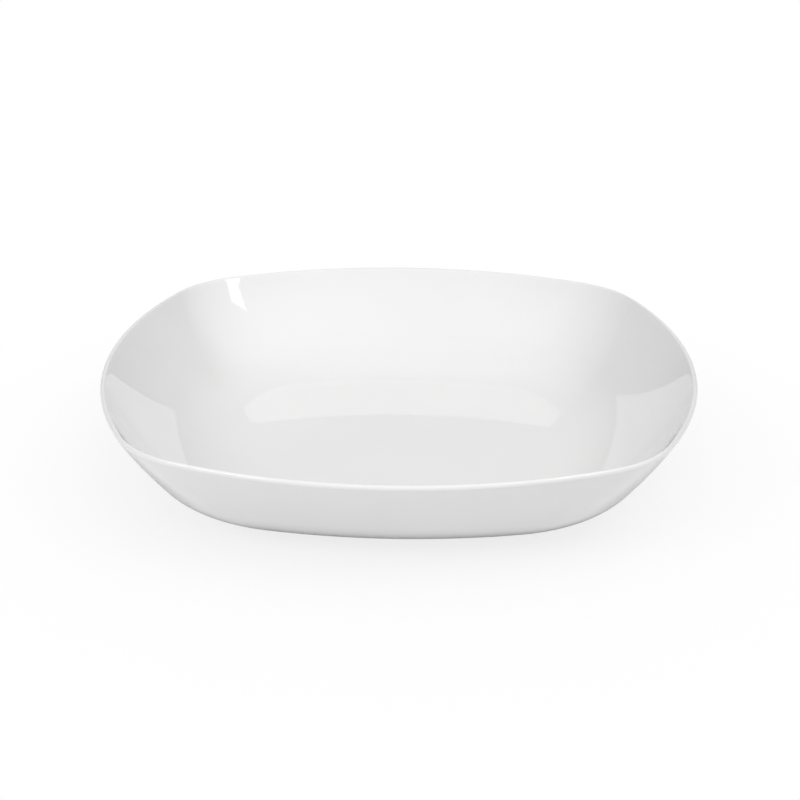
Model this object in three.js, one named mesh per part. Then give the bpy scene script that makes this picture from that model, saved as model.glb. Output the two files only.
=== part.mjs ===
// A deep soup plate of rounded square plan: a porcelain body on a foot ring, and the glaze fired onto it.
// Millimetres, +Z up, with the origin at the centre of the face that stands on the table.
import * as THREE from "three";

// Overall sizes, measured over the glaze
const rimWidth = 210; // across the middle of two opposite sides
const plateHeight = 38.6; // from the table to the top of the lip

// Section of the shell, measured over the glaze
const lipThickness = 2.1; // the lip is a full round
const floorThickness = 3.6;
const wallReach = 44.2; // from the edge of the flat underside, over the heel and the wall, out to the rim
const heelRadius = 34;
const coveInset = 4.8; // how much further in the flat floor of the well ends than the flat underside
const coveRadius = 40;
const innerWallRadius = 150; // the inside of the wall goes on curving up from the cove to the lip

// Plan of the rim and of the heel: four bowed sides that run into four corner arcs
const rimBowRadius = 169;
const rimCornerRadius = 37;
const heelBowRadius = 185;
const heelCornerRadius = 36.5;

// Foot ring, measured over the glaze
const footHeight = 2.4; // from the table to the flat of the underside
const footSetback = 5.8; // from the edge of that flat in to the ring
const footRingWidth = 4.4;
const footFilletRadius = 1; // where the ring runs into the underside
const footEdgeRadius = 0.7; // along the bare face that stands on the table

const glazeThickness = 0.25;

// Facets
const stepsAround = 64;
const coveSteps = 7;
const wallSteps = 3;
const lipSteps = 2; // from each wall to the lip's top or to its outermost point
const lipCrownSteps = 3; // between these two
const heelSteps = 6;
const filletSteps = 3;
const edgeSteps = 2;

// Half widths and levels that follow from these sizes
const rimHalf = rimWidth / 2;
const heelHalf = rimHalf - wallReach;
const footOuter = heelHalf - footSetback;
const footInner = footOuter - footRingWidth;
const floorLevel = footHeight + floorThickness;
const glazeLine = footHeight - footFilletRadius;
const lipRadius = lipThickness / 2;

// Directions in the section
const HALF_TURN = Math.PI;
const QUARTER_TURN = HALF_TURN / 2;
const OUT = 0;
const UP = QUARTER_TURN;
const IN = HALF_TURN;
const DOWN = -QUARTER_TURN;

// Centres of the arcs of the section, as half width and height
const heelCentre = point(heelHalf, footHeight + heelRadius);
const coveCentre = point(heelHalf - coveInset, floorLevel + coveRadius);
const lipCentre = point(rimHalf - lipRadius, plateHeight - lipRadius);
const outerFilletCentre = point(footOuter + footFilletRadius, glazeLine);
const innerFilletCentre = point(footInner - footFilletRadius, glazeLine);
const innerWallCentre = findInnerWallCentre();

// Directions in which the shell faces where two stretches of the section meet.
// They hold for the glaze and for the body under it, because both faces of the glaze are parallel.
const coveEnd = direction(innerWallCentre, coveCentre);
const innerWallEnd = direction(innerWallCentre, lipCentre);
const outerWall = findOuterWall();

// The centre of the arc that runs on from the cove's and touches the round of the lip
function findInnerWallCentre() {
  const toCove = innerWallRadius - coveRadius;
  const toLip = innerWallRadius + lipRadius;
  const apart = coveCentre.distanceTo(lipCentre);
  const turn = Math.acos((toCove ** 2 + apart ** 2 - toLip ** 2) / (2 * toCove * apart));
  return onArc(coveCentre, toCove, direction(coveCentre, lipCentre) + turn);
}

// The direction square to the straight outside of the wall, which touches the heel's arc and the lip's
function findOuterWall() {
  const apart = heelCentre.distanceTo(lipCentre);
  return direction(heelCentre, lipCentre) - Math.acos((heelRadius - lipRadius) / apart);
}

function point(x, z) {
  return new THREE.Vector2(x, z);
}

function direction(from, to) {
  return Math.atan2(to.y - from.y, to.x - from.x);
}

function onArc(centre, radius, angle) {
  return point(Math.cos(angle), Math.sin(angle)).multiplyScalar(radius).add(centre);
}

function arc(centre, radius, from, to, steps) {
  const points = [];
  for (let i = 0; i <= steps; i++) {
    points.push(onArc(centre, radius, THREE.MathUtils.lerp(from, to, i / steps)));
  }
  return points;
}

// The points between two ends of a straight wall, without the ends
function between(start, end) {
  const points = [];
  for (let i = 1; i < wallSteps; i++) {
    points.push(start.clone().lerp(end, i / wallSteps));
  }
  return points;
}

// The round of the lip, with points at its top and where it reaches out furthest
function lipSection(radius) {
  const rise = arc(lipCentre, radius, innerWallEnd + HALF_TURN, UP, lipSteps);
  const crown = arc(lipCentre, radius, UP, OUT, lipCrownSteps);
  const fall = arc(lipCentre, radius, OUT, outerWall, lipSteps);
  return [...rise, ...crown.slice(1), ...fall.slice(1)];
}

// The section from the middle of the well, over the lip and down the outside to the glaze line,
// at a depth under the glazed surface
function coatSection(depth) {
  const middle = point(0, floorLevel - depth);
  const cove = arc(coveCentre, coveRadius + depth, DOWN, coveEnd, coveSteps);
  const insideWall = arc(innerWallCentre, innerWallRadius + depth, coveEnd, innerWallEnd, wallSteps);
  const lip = lipSection(lipRadius - depth);
  const heel = arc(heelCentre, heelRadius - depth, outerWall, DOWN, heelSteps);
  const outsideWall = between(lip.at(-1), heel[0]);
  const fillet = arc(outerFilletCentre, footFilletRadius + depth, UP, IN, filletSteps);
  return [middle, ...cove, ...insideWall.slice(1, -1), ...lip, ...outsideWall, ...heel, ...fillet];
}

// The section of the recess inside the foot ring, from the glaze line to the middle of the underside
function baseSection(depth) {
  const fillet = arc(innerFilletCentre, footFilletRadius + depth, OUT, UP, filletSteps);
  return [...fillet, point(0, footHeight + depth)];
}

// The bare foot, from the outer glaze line down to the table and up to the inner glaze line
function footSection() {
  const outerEdge = point(footOuter - glazeThickness - footEdgeRadius, footEdgeRadius);
  const innerEdge = point(footInner + glazeThickness + footEdgeRadius, footEdgeRadius);
  return [
    ...arc(outerEdge, footEdgeRadius, OUT, DOWN, edgeSteps),
    ...arc(innerEdge, footEdgeRadius, DOWN, -HALF_TURN, edgeSteps),
  ];
}

// A quarter of the rounded square with a given half width, at the angle that its outline faces.
// Its shape blends from the heel's to the rim's as the half width grows.
function quarterPoint(half, angle) {
  const blend = Math.max(THREE.MathUtils.inverseLerp(heelHalf, rimHalf, half), 0);
  const bow = half * THREE.MathUtils.lerp(heelBowRadius / heelHalf, rimBowRadius / rimHalf, blend);
  const corner = half * THREE.MathUtils.lerp(heelCornerRadius / heelHalf, rimCornerRadius / rimHalf, blend);
  const bowCentre = half - bow;
  const cornerCentre = (bowCentre + Math.sqrt(2 * (bow - corner) ** 2 - bowCentre ** 2)) / 2;
  const joint = Math.atan2(cornerCentre, cornerCentre - bowCentre);
  const facing = point(Math.cos(angle), Math.sin(angle));
  if (angle < joint) return facing.multiplyScalar(bow).add(point(bowCentre, 0));
  if (angle > QUARTER_TURN - joint) return facing.multiplyScalar(bow).add(point(0, bowCentre));
  return facing.multiplyScalar(corner).add(point(cornerCentre, cornerCentre));
}

// Turns a section into a solid of revolution, then draws each of its circles out to a rounded square
function roundedSquareSolid(section) {
  const geometry = new THREE.LatheGeometry(section, stepsAround);
  geometry.rotateX(QUARTER_TURN);
  const vertices = geometry.getAttribute("position");
  const stepAngle = (2 * HALF_TURN) / stepsAround;
  const stepsInQuarter = stepsAround / 4;
  for (let i = 0; i < vertices.count; i++) {
    const half = Math.hypot(vertices.getX(i), vertices.getY(i));
    const step = Math.round(Math.atan2(vertices.getY(i), vertices.getX(i)) / stepAngle) + stepsAround;
    const quarter = Math.floor(step / stepsInQuarter);
    const place = quarterPoint(half, (step % stepsInQuarter) * stepAngle);
    place.rotateAround(point(0, 0), quarter * QUARTER_TURN);
    vertices.setXY(i, place.x, place.y);
  }
  return geometry;
}

// Turns the faces of a solid round, whose section runs clockwise
function turnFaces(geometry) {
  const faces = geometry.getIndex();
  for (let i = 0; i < faces.count; i += 3) {
    const first = faces.getX(i);
    faces.setX(i, faces.getX(i + 1));
    faces.setX(i + 1, first);
  }
  return geometry;
}

function mesh(name, geometry, finish) {
  geometry.computeVertexNormals();
  const made = new THREE.Mesh(geometry, new THREE.MeshStandardMaterial(finish));
  made.name = name;
  return made;
}

const biscuit = { color: "#ebe8e2", roughness: 0.7, metalness: 0 };
const glaze = { color: "#f2f2f1", roughness: 0.1, metalness: 0 };

// The glaze follows the body's own section, the same way along it, so that their faces meet all over
const coated = coatSection(glazeThickness).reverse();
const recess = baseSection(glazeThickness).reverse();
const body = roundedSquareSolid([...recess, ...footSection().reverse(), ...coated]);
const coat = turnFaces(roundedSquareSolid([...coatSection(0), ...coated]));
const base = turnFaces(roundedSquareSolid([...recess, ...baseSection(0)]));

const plate = new THREE.Group();
plate.name = "soup_plate";
plate.add(mesh("porcelain_body", body, biscuit));
plate.add(mesh("glaze_coat", coat, glaze));
plate.add(mesh("base_glaze", base, glaze));

export default plate;
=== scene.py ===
"""The looks of a deep soup plate of rounded square plan, glazed white, on a pale studio floor."""
import math

import bmesh
import bpy
import numpy as np
from mathutils import Matrix, Vector


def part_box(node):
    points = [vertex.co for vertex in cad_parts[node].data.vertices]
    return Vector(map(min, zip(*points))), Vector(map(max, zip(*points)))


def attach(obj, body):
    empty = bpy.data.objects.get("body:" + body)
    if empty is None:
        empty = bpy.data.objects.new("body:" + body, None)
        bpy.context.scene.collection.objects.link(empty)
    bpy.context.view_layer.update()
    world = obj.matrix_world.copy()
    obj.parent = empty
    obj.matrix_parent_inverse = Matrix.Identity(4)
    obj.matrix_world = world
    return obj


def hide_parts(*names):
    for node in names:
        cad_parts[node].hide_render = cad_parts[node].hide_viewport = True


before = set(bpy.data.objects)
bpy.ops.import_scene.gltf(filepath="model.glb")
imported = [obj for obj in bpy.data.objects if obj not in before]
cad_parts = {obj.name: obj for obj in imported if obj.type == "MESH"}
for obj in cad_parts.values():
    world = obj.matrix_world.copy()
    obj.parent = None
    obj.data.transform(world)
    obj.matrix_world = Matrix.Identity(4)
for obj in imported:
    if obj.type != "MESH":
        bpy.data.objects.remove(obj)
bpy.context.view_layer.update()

MM = 0.001

# Sizes that the frame gives
COAT_LOW, COAT_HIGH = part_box("glaze_coat")
BODY_LOW, BODY_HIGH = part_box("porcelain_body")
BASE_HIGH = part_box("base_glaze")[1]
RIM_HALF = COAT_HIGH.x
PLATE_TOP = COAT_HIGH.z
TABLE = BODY_LOW.z
GLAZE_LINE = COAT_LOW.z
GLAZE = COAT_HIGH.z - BODY_HIGH.z
UNDERSIDE = BASE_HIGH.z - GLAZE
FOOT_INNER = BASE_HIGH.x - GLAZE
FOOT_FILLET = UNDERSIDE - GLAZE_LINE

# Sizes of the section and the plan, measured over the glaze
LIP_RADIUS = 1.05 * MM
FLOOR_THICKNESS = 3.6 * MM
WALL_REACH = 44.2 * MM
HEEL_RADIUS = 34 * MM
COVE_INSET = 4.8 * MM
COVE_RADIUS = 40 * MM
INNER_WALL_RADIUS = 150 * MM
RIM_BOW, RIM_CORNER = 169 * MM, 37 * MM
HEEL_BOW, HEEL_CORNER = 185 * MM, 36.5 * MM
FOOT_RING = 4.4 * MM
FOOT_EDGE = 0.7 * MM

HEEL_HALF = RIM_HALF - WALL_REACH
FLOOR_LEVEL = UNDERSIDE + FLOOR_THICKNESS
FOOT_OUTER = FOOT_INNER + FOOT_RING
HEEL_CENTRE = np.array([HEEL_HALF, UNDERSIDE + HEEL_RADIUS])
COVE_CENTRE = np.array([HEEL_HALF - COVE_INSET, FLOOR_LEVEL + COVE_RADIUS])
LIP_CENTRE = np.array([RIM_HALF - LIP_RADIUS, PLATE_TOP - LIP_RADIUS])

# Directions in the section. To turn inwards by way of down, -IN takes the place of IN.
OUT, UP, IN, DOWN = 0, math.pi / 2, math.pi, -math.pi / 2

# Steps of the meshes, round the plan and along each stretch of the section
AROUND = 288
FLOOR_STEPS, COVE_STEPS, INNER_WALL_STEPS, LIP_STEPS = 8, 12, 6, 8
OUTER_WALL_STEPS, HEEL_STEPS, FILLET_STEPS = 6, 10, 4
FOOT_SIDE_STEPS, FOOT_EDGE_STEPS, FOOT_FACE_STEPS, BEAD_STEPS = 3, 6, 4, 6

# How many times finer the glazed faces are than the body under them
BODY_FINE, SHELL_FINE, BASE_FINE = 1, 3, 2

# The least angle of an edge that isn't shaded smooth
SHARP_EDGE = math.radians(50)

# Slow waves of a pressed and fired surface: their height together, and each one's length, heading and phase
WAVE_HEIGHT = 0.03 * MM
WAVES = (
    (61 * MM, 0.4, 0.3),
    (47 * MM, 1.5, 1.9),
    (38 * MM, 2.6, 4.1),
    (29 * MM, 3.7, 2.2),
)

# The glaze: faint clouds of tint, a haze in its gloss and a fine peel, each with its scale per metre
GLAZE_IOR = 1.5
CLOUD_SCALE, CLOUD_DETAIL = 22, 3
CLOUD_TINTS = (0.3, (0.755, 0.755, 0.755, 1)), (0.7, (0.775, 0.775, 0.773, 1))
HAZE_SCALE, HAZE_DETAIL = 60, 4
HAZE_ROUGHNESS = 0.015, 0.035
PEEL_SCALE, PEEL_DETAIL = 380, 1
PEEL_STRENGTH, PEEL_DEPTH = 0.05, 0.02 * MM

# The bare biscuit of the foot: one grain gives its tint, roughness and relief
GRAIN_SCALE, GRAIN_DETAIL = 900, 5
GRAIN_TINTS = (0.3, (0.60, 0.57, 0.52, 1)), (0.62, (0.76, 0.74, 0.69, 1))
GRAIN_ROUGHNESS = 0.6, 0.8
GRAIN_STRENGTH, GRAIN_DEPTH = 0.4, 0.05 * MM

# The floor
FLOOR_REACH = 12
FLOOR_COLOUR = (0.82, 0.82, 0.82, 1)

# How the ground grows white away from a centre: the centre, the start and end of the growth, the least share
# The glaze mirrors a ground of its own, which leaves the shadow under the rim at its natural depth inside an
# arc round a point behind the plate's middle; the arc is a painted shadow edge, set where the rim's shadow
# from a light high in front would end.
SEEN_GROUND = (0, 0, 0), 90 * MM, 200 * MM, 0.8
MIRRORED_GROUND_PAINTED_SHADOW = (0, 88 * MM, 0), 162 * MM, 172 * MM, 0

# The light tent: a grey ambient, and wide soft glows that are added to it
# A glow has an azimuth, an elevation, the angles from its middle where it fades and ends, and a radiance.
# Every azimuth is measured from behind the plate to its right.
TENT_COLOUR = (1, 1, 1, 1)
AMBIENT = 0.28
TENT = (
    ("top", 0, 90, 10, 60, 0.68),
    ("front", 180, 35, 5, 65, 0.68),
    ("right", 95, 50, 5, 45, 0.67),
    ("back_low", 0, 22, 5, 35, 0.24),
)

# Softboxes that face the plate: azimuth and elevation, distance, width, height, roll and radiance
SOFTBOXES = (
    ("key", -133, 34, 1.6, 0.65, 0.5, 0, 5.0),
    ("strip", 123, 51.4, 1.15, 0.18, 0.38, 139, 3.8),
)

# The camera stands where the photograph's stood, and looks at a point near the plate's axis.
CAMERA_ELEVATION = math.radians(21.55)
CAMERA_TURN = math.radians(1.44)
CAMERA_ROLL = math.radians(0.38)
CAMERA_DISTANCE = 663.4 * MM
CAMERA_AIM = Vector((0.15, 0, 23.4)) * MM
LENS = 83.44
SENSOR = 36


def arc(centre, radius, start, end, steps):
    """Points of an arc of the section, as rows of half width and height."""
    angles = np.linspace(start, end, steps + 1)
    return centre + radius * np.column_stack([np.cos(angles), np.sin(angles)])


def straight(start, end, steps):
    """Points of a straight stretch of the section, with both its ends."""
    return np.linspace(start, end, steps + 1)


def run(*stretches):
    """One line of points from stretches that each start where the one before ends."""
    return np.concatenate([stretches[0]] + [stretch[1:] for stretch in stretches[1:]])


def direction(start, end):
    """The direction from one point of the section to another."""
    return math.atan2(end[1] - start[1], end[0] - start[0])


def inner_wall_centre():
    """The centre of the arc that runs on from the cove's and touches the round of the lip."""
    to_cove = INNER_WALL_RADIUS - COVE_RADIUS
    to_lip = INNER_WALL_RADIUS + LIP_RADIUS
    apart = np.hypot(*(LIP_CENTRE - COVE_CENTRE))
    turn = math.acos((to_cove ** 2 + apart ** 2 - to_lip ** 2) / (2 * to_cove * apart))
    angle = direction(COVE_CENTRE, LIP_CENTRE) + turn
    return COVE_CENTRE + to_cove * np.array([math.cos(angle), math.sin(angle)])


def outer_wall():
    """The direction square to the straight outside of the wall, which touches the arcs of heel and lip."""
    apart = np.hypot(*(LIP_CENTRE - HEEL_CENTRE))
    return direction(HEEL_CENTRE, LIP_CENTRE) - math.acos((HEEL_RADIUS - LIP_RADIUS) / apart)


INNER_WALL_CENTRE = inner_wall_centre()
COVE_END = direction(INNER_WALL_CENTRE, COVE_CENTRE)
INNER_WALL_END = direction(INNER_WALL_CENTRE, LIP_CENTRE)
OUTER_WALL = outer_wall()


def coat_section(depth, fine):
    """From the middle of the well over the lip to the glaze line, at a depth under the glazed surface."""
    cove = arc(COVE_CENTRE, COVE_RADIUS + depth, DOWN, COVE_END, COVE_STEPS * fine)
    wall_radius = INNER_WALL_RADIUS + depth
    inner_wall = arc(INNER_WALL_CENTRE, wall_radius, COVE_END, INNER_WALL_END, INNER_WALL_STEPS * fine)
    lip = arc(LIP_CENTRE, LIP_RADIUS - depth, INNER_WALL_END + IN, OUTER_WALL, LIP_STEPS * fine)
    heel = arc(HEEL_CENTRE, HEEL_RADIUS - depth, OUTER_WALL, DOWN, HEEL_STEPS * fine)
    fillet_centre = np.array([FOOT_OUTER + FOOT_FILLET, GLAZE_LINE])
    fillet = arc(fillet_centre, FOOT_FILLET + depth, UP, IN, FILLET_STEPS * fine)
    return run(
        straight((0, FLOOR_LEVEL - depth), cove[0], FLOOR_STEPS * fine),
        cove,
        inner_wall,
        lip,
        straight(lip[-1], heel[0], OUTER_WALL_STEPS * fine),
        heel,
        straight(heel[-1], fillet[0], fine),
        fillet,
    )


def base_section(depth, fine):
    """The recess inside the foot ring, from the glaze line to the middle of the underside."""
    fillet_centre = np.array([FOOT_INNER - FOOT_FILLET, GLAZE_LINE])
    fillet = arc(fillet_centre, FOOT_FILLET + depth, OUT, UP, FILLET_STEPS * fine)
    return run(fillet, straight(fillet[-1], (0, UNDERSIDE + depth), FLOOR_STEPS * fine))


def foot_section():
    """The bare foot, from the outer glaze line down to the table and up to the inner one."""
    outer_side = FOOT_OUTER - GLAZE
    inner_side = FOOT_INNER + GLAZE
    edge_level = TABLE + FOOT_EDGE
    outer_centre = np.array([outer_side - FOOT_EDGE, edge_level])
    inner_centre = np.array([inner_side + FOOT_EDGE, edge_level])
    outer_edge = arc(outer_centre, FOOT_EDGE, OUT, DOWN, FOOT_EDGE_STEPS)
    inner_edge = arc(inner_centre, FOOT_EDGE, DOWN, -IN, FOOT_EDGE_STEPS)
    return run(
        straight((outer_side, GLAZE_LINE), outer_edge[0], FOOT_SIDE_STEPS),
        outer_edge,
        straight(outer_edge[-1], inner_edge[0], FOOT_FACE_STEPS),
        inner_edge,
        straight(inner_edge[-1], (inner_side, GLAZE_LINE), FOOT_SIDE_STEPS),
    )


def bead(side, start):
    """The soft edge in which the glaze ends on a side of the foot."""
    return arc(np.array([side, GLAZE_LINE]), GLAZE, start, DOWN, BEAD_STEPS)


def rounded_square(half, angle):
    """Points of the plan with that half width, where its outline faces that angle."""
    blend = np.maximum((half - HEEL_HALF) / (RIM_HALF - HEEL_HALF), 0)
    bow = half * (HEEL_BOW / HEEL_HALF + (RIM_BOW / RIM_HALF - HEEL_BOW / HEEL_HALF) * blend)
    corner = half * (HEEL_CORNER / HEEL_HALF + (RIM_CORNER / RIM_HALF - HEEL_CORNER / HEEL_HALF) * blend)
    bow_centre = half - bow
    corner_centre = (bow_centre + np.sqrt(2 * (bow - corner) ** 2 - bow_centre ** 2)) / 2
    joint = np.arctan2(corner_centre, corner_centre - bow_centre)
    quarter, within = np.divmod(angle, math.pi / 2)
    first = within < joint
    last = within > math.pi / 2 - joint
    radius = np.where(first | last, bow, corner)
    x = np.where(first, bow_centre, np.where(last, 0, corner_centre)) + radius * np.cos(within)
    y = np.where(first, 0, np.where(last, bow_centre, corner_centre)) + radius * np.sin(within)
    turn = quarter * math.pi / 2
    return x * np.cos(turn) - y * np.sin(turn), x * np.sin(turn) + y * np.cos(turn)


def turned(name, section):
    """A closed piece: the section drawn round the plan, with a pole on the axis at each end."""
    rings = section[1:-1]
    angles = np.arange(AROUND) * 2 * math.pi / AROUND
    x, y = rounded_square(rings[:, :1], angles[None, :])
    z = np.repeat(rings[:, 1:], AROUND, axis=1)
    points = np.stack([x, y, z], axis=-1).reshape(-1, 3).tolist()
    first_pole, last_pole = len(points), len(points) + 1
    points += [[0, 0, section[0, 1]], [0, 0, section[-1, 1]]]
    faces = []
    for ring in range(len(rings) - 1):
        for step in range(AROUND):
            a = ring * AROUND + step
            b = ring * AROUND + (step + 1) % AROUND
            faces.append((a, b, b + AROUND, a + AROUND))
    last_ring = (len(rings) - 1) * AROUND
    for step in range(AROUND):
        after = (step + 1) % AROUND
        faces.append((after, step, first_pole))
        faces.append((last_ring + step, last_ring + after, last_pole))
    mesh = bpy.data.meshes.new(name)
    mesh.from_pydata(points, [], faces)
    made = bmesh.new()
    made.from_mesh(mesh)
    bmesh.ops.recalc_face_normals(made, faces=made.faces)
    made.to_mesh(mesh)
    made.free()
    mesh.polygons.foreach_set("use_smooth", [True] * len(mesh.polygons))
    piece = bpy.data.objects.new(name, mesh)
    bpy.context.scene.collection.objects.link(piece)
    return piece


def ripple(piece, rings):
    """Sinks the glazed face, which is the first rings of vertices and their pole, by the slow waves."""
    vertices = piece.data.vertices
    first_pole = len(vertices) - 2
    face = [*range(rings * AROUND), first_pole]
    place = np.array([vertices[i].co for i in face])
    normal = np.array([vertices[i].normal for i in face])
    waves = np.zeros(len(face))
    for length, heading, phase in WAVES:
        along = place[:, 0] * math.cos(heading) + place[:, 1] * math.sin(heading)
        waves += np.sin(2 * math.pi * along / length + phase)
    sink = WAVE_HEIGHT * (1 + waves / len(WAVES)) / 2
    for i, sunk in zip(face, place - normal * sink[:, None]):
        vertices[i].co = sunk
    piece.data.update()


def node_material(name):
    """A new material with an empty node tree."""
    material = bpy.data.materials.new(name)
    material.use_nodes = True
    nodes = material.node_tree.nodes
    nodes.clear()
    return nodes, material.node_tree.links, material


def principled(nodes, links):
    """A shader that is linked to the material's output."""
    out = nodes.new("ShaderNodeOutputMaterial")
    shader = nodes.new("ShaderNodeBsdfPrincipled")
    links.new(shader.outputs["BSDF"], out.inputs["Surface"])
    return shader


def noise(nodes, links, place, scale, detail):
    """A noise over the piece, between 0 and 1."""
    texture = nodes.new("ShaderNodeTexNoise")
    texture.inputs["Scale"].default_value = scale
    texture.inputs["Detail"].default_value = detail
    links.new(place.outputs["Object"], texture.inputs["Vector"])
    return texture.outputs["Fac"]


def add_tint(nodes, links, value, tints, shader):
    """Gives the shader a colour between two tints, each with the value at which it is reached."""
    ramp = nodes.new("ShaderNodeValToRGB")
    for element, (position, colour) in zip(ramp.color_ramp.elements, tints):
        element.position = position
        element.color = colour
    links.new(value, ramp.inputs["Fac"])
    links.new(ramp.outputs["Color"], shader.inputs["Base Color"])


def add_roughness(nodes, links, value, limits, shader):
    """Gives the shader a roughness between two limits."""
    spread = nodes.new("ShaderNodeMapRange")
    spread.inputs["To Min"].default_value, spread.inputs["To Max"].default_value = limits
    links.new(value, spread.inputs["Value"])
    links.new(spread.outputs["Result"], shader.inputs["Roughness"])


def add_bump(nodes, links, value, strength, depth, shader):
    """Gives the shader a fine relief."""
    bump = nodes.new("ShaderNodeBump")
    bump.inputs["Strength"].default_value = strength
    bump.inputs["Distance"].default_value = depth
    links.new(value, bump.inputs["Height"])
    links.new(bump.outputs["Normal"], shader.inputs["Normal"])


def glaze_material():
    """A white glass coat."""
    nodes, links, material = node_material("white_glaze")
    shader = principled(nodes, links)
    shader.inputs["IOR"].default_value = GLAZE_IOR
    place = nodes.new("ShaderNodeTexCoord")
    clouds = noise(nodes, links, place, CLOUD_SCALE, CLOUD_DETAIL)
    haze = noise(nodes, links, place, HAZE_SCALE, HAZE_DETAIL)
    peel = noise(nodes, links, place, PEEL_SCALE, PEEL_DETAIL)
    add_tint(nodes, links, clouds, CLOUD_TINTS, shader)
    add_roughness(nodes, links, haze, HAZE_ROUGHNESS, shader)
    add_bump(nodes, links, peel, PEEL_STRENGTH, PEEL_DEPTH, shader)
    return material


def biscuit_material():
    """The bare fired body."""
    nodes, links, material = node_material("bare_biscuit")
    shader = principled(nodes, links)
    place = nodes.new("ShaderNodeTexCoord")
    grain = noise(nodes, links, place, GRAIN_SCALE, GRAIN_DETAIL)
    add_tint(nodes, links, grain, GRAIN_TINTS, shader)
    add_roughness(nodes, links, grain, GRAIN_ROUGHNESS, shader)
    add_bump(nodes, links, grain, GRAIN_STRENGTH, GRAIN_DEPTH, shader)
    return material


def larger(nodes, links, first, second):
    """The larger of two values."""
    pick = nodes.new("ShaderNodeMath")
    pick.operation = "MAXIMUM"
    links.new(first, pick.inputs[0])
    links.new(second, pick.inputs[1])
    return pick.outputs["Value"]


def mixed(nodes, links, share, first, second):
    """A shader that goes over from the first to the second."""
    mix = nodes.new("ShaderNodeMixShader")
    links.new(share, mix.inputs["Fac"])
    links.new(first, mix.inputs[1])
    links.new(second, mix.inputs[2])
    return mix.outputs["Shader"]


def white_share(nodes, links, place, centre, start, end, least):
    """How white the ground is, which grows with the distance from a centre."""
    distance = nodes.new("ShaderNodeVectorMath")
    distance.operation = "DISTANCE"
    distance.inputs[1].default_value = centre
    links.new(place.outputs["Object"], distance.inputs[0])
    share = nodes.new("ShaderNodeMapRange")
    share.interpolation_type = "SMOOTHSTEP"
    share.inputs["From Min"].default_value = start
    share.inputs["From Max"].default_value = end
    share.inputs["To Min"].default_value = least
    links.new(distance.outputs["Value"], share.inputs["Value"])
    return share.outputs["Result"]


def floor_material():
    """A matt pale floor, which keeps the plate's shadow and runs out into a white ground away from it."""
    nodes, links, material = node_material("pale_floor")
    out = nodes.new("ShaderNodeOutputMaterial")
    matt = nodes.new("ShaderNodeBsdfDiffuse")
    matt.inputs["Color"].default_value = FLOOR_COLOUR
    white = nodes.new("ShaderNodeEmission")
    place = nodes.new("ShaderNodeTexCoord")
    path = nodes.new("ShaderNodeLightPath")
    camera_or_gloss = larger(nodes, links, path.outputs["Is Camera Ray"], path.outputs["Is Glossy Ray"])
    shows_ground = larger(nodes, links, camera_or_gloss, path.outputs["Is Transmission Ray"])
    # Glossy rays take the mirrored share: the floor's real shade inside the arc, a painted shadow edge at
    # the arc, and white beyond it.
    share = nodes.new("ShaderNodeMix")
    links.new(path.outputs["Is Glossy Ray"], share.inputs["Factor"])
    links.new(white_share(nodes, links, place, *SEEN_GROUND), share.inputs["A"])
    links.new(white_share(nodes, links, place, *MIRRORED_GROUND_PAINTED_SHADOW), share.inputs["B"])
    ground = mixed(nodes, links, share.outputs["Result"], matt.outputs["BSDF"], white.outputs["Emission"])
    links.new(mixed(nodes, links, shows_ground, matt.outputs["BSDF"], ground), out.inputs["Surface"])
    material.cycles.emission_sampling = "NONE"
    return material


def make_floor():
    """One large square under the plate."""
    mesh = bpy.data.meshes.new("floor")
    corners = [(x * FLOOR_REACH, y * FLOOR_REACH, TABLE) for x, y in ((-1, -1), (1, -1), (1, 1), (-1, 1))]
    mesh.from_pydata(corners, [], [(0, 1, 2, 3)])
    floor = bpy.data.objects.new("floor", mesh)
    bpy.context.scene.collection.objects.link(floor)
    mesh.materials.append(floor_material())


def towards(azimuth, elevation):
    """The direction from the plate to a light."""
    across, up = math.radians(azimuth), math.radians(elevation)
    return Vector((math.sin(across) * math.cos(up), math.cos(across) * math.cos(up), math.sin(up)))


def tent_glow(nodes, links, place, azimuth, elevation, inner, outer, radiance):
    """One glow of the tent, which fades away from its middle."""
    facing = nodes.new("ShaderNodeVectorMath")
    facing.operation = "DOT_PRODUCT"
    facing.inputs[1].default_value = towards(azimuth, elevation)
    links.new(place.outputs["Generated"], facing.inputs[0])
    glow = nodes.new("ShaderNodeMapRange")
    glow.interpolation_type = "SMOOTHSTEP"
    glow.inputs["From Min"].default_value = math.cos(math.radians(outer))
    glow.inputs["From Max"].default_value = math.cos(math.radians(inner))
    glow.inputs["To Max"].default_value = radiance
    links.new(facing.outputs["Value"], glow.inputs["Value"])
    return glow


def make_world():
    """The light tent: the first sum adds a glow to the ambient, and each later one to the sum before it."""
    world = bpy.data.worlds.new("studio")
    bpy.context.scene.world = world
    world.use_nodes = True
    nodes, links = world.node_tree.nodes, world.node_tree.links
    background = nodes["Background"]
    background.inputs["Color"].default_value = TENT_COLOUR
    place = nodes.new("ShaderNodeTexCoord")
    total = None
    for name, *shape in TENT:
        glow = tent_glow(nodes, links, place, *shape)
        glow.label = name
        add = nodes.new("ShaderNodeMath")
        add.inputs[1].default_value = AMBIENT
        links.new(glow.outputs["Result"], add.inputs[0])
        if total:
            links.new(total, add.inputs[1])
        total = add.outputs["Value"]
    links.new(total, background.inputs["Strength"])


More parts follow.
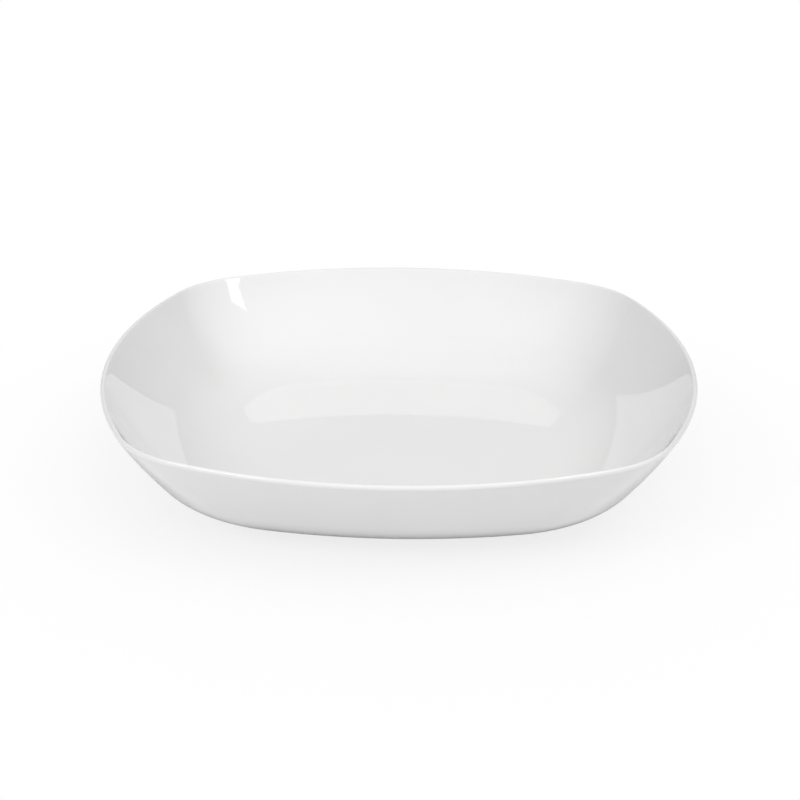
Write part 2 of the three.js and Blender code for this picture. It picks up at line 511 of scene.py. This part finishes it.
def make_softbox(name, azimuth, elevation, distance, width, height, roll, radiance):
    """A rectangular lamp that faces the plate."""
    light = bpy.data.lights.new(name, "AREA")
    light.shape = "RECTANGLE"
    light.size, light.size_y = width, height
    light.energy = radiance * math.pi * width * height
    box = bpy.data.objects.new(name, light)
    box.location = towards(azimuth, elevation) * distance
    level = (-box.location).to_track_quat("-Z", "Y").to_matrix()
    box.rotation_euler = (level @ Matrix.Rotation(math.radians(roll), 3, "Z")).to_euler()
    bpy.context.scene.collection.objects.link(box)


def make_camera():
    """The camera, turned and rolled a little from straight before the plate."""
    data = bpy.data.cameras.new("camera")
    data.lens = LENS
    data.sensor_width = SENSOR
    camera = bpy.data.objects.new("camera", data)
    bpy.context.scene.collection.objects.link(camera)
    flat = math.cos(CAMERA_ELEVATION)
    back = Vector((math.sin(CAMERA_TURN) * flat, -math.cos(CAMERA_TURN) * flat, math.sin(CAMERA_ELEVATION)))
    eye = Vector((0, 0, LIP_CENTRE[1])) + back * CAMERA_DISTANCE
    level = (CAMERA_AIM - eye).to_track_quat("-Z", "Y").to_matrix()
    rolled = level @ Matrix.Rotation(CAMERA_ROLL, 3, "Z")
    camera.matrix_world = Matrix.Translation(eye) @ rolled.to_4x4()
    bpy.context.scene.camera = camera


def make_plate():
    """The glazed shell, the glazed base and the body between them, each a closed piece."""
    glaze, biscuit = glaze_material(), biscuit_material()
    coated, recess = coat_section(GLAZE, BODY_FINE), base_section(GLAZE, BODY_FINE)
    glazed, glazed_base = coat_section(0, SHELL_FINE), base_section(0, BASE_FINE)
    outer_bead = bead(FOOT_OUTER - GLAZE, OUT)
    inner_bead = bead(FOOT_INNER + GLAZE, -IN)
    shell = np.concatenate([run(glazed, outer_bead), coated[::-1]])
    base = np.concatenate([recess[::-1], run(inner_bead[::-1], glazed_base)])
    body = run(coated, foot_section(), recess)
    pieces = (
        ("glazed_shell", shell, glaze, "glaze", "glaze_coat"),
        ("glazed_base", base, glaze, "glaze", "base_glaze"),
        ("bare_body", body, biscuit, "biscuit", "porcelain_body"),
    )
    for name, section, material, slot, node in pieces:
        piece = turned(name, section)
        if section is shell:
            ripple(piece, len(glazed) - 1)
        piece.data.materials.append(material)
        piece.data.set_sharp_from_angle(angle=SHARP_EDGE)
        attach(piece, "root")
        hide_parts(node)


make_plate()
make_floor()
make_world()
for softbox in SOFTBOXES:
    make_softbox(*softbox)
make_camera()
bpy.context.scene.view_settings.view_transform = "Standard"
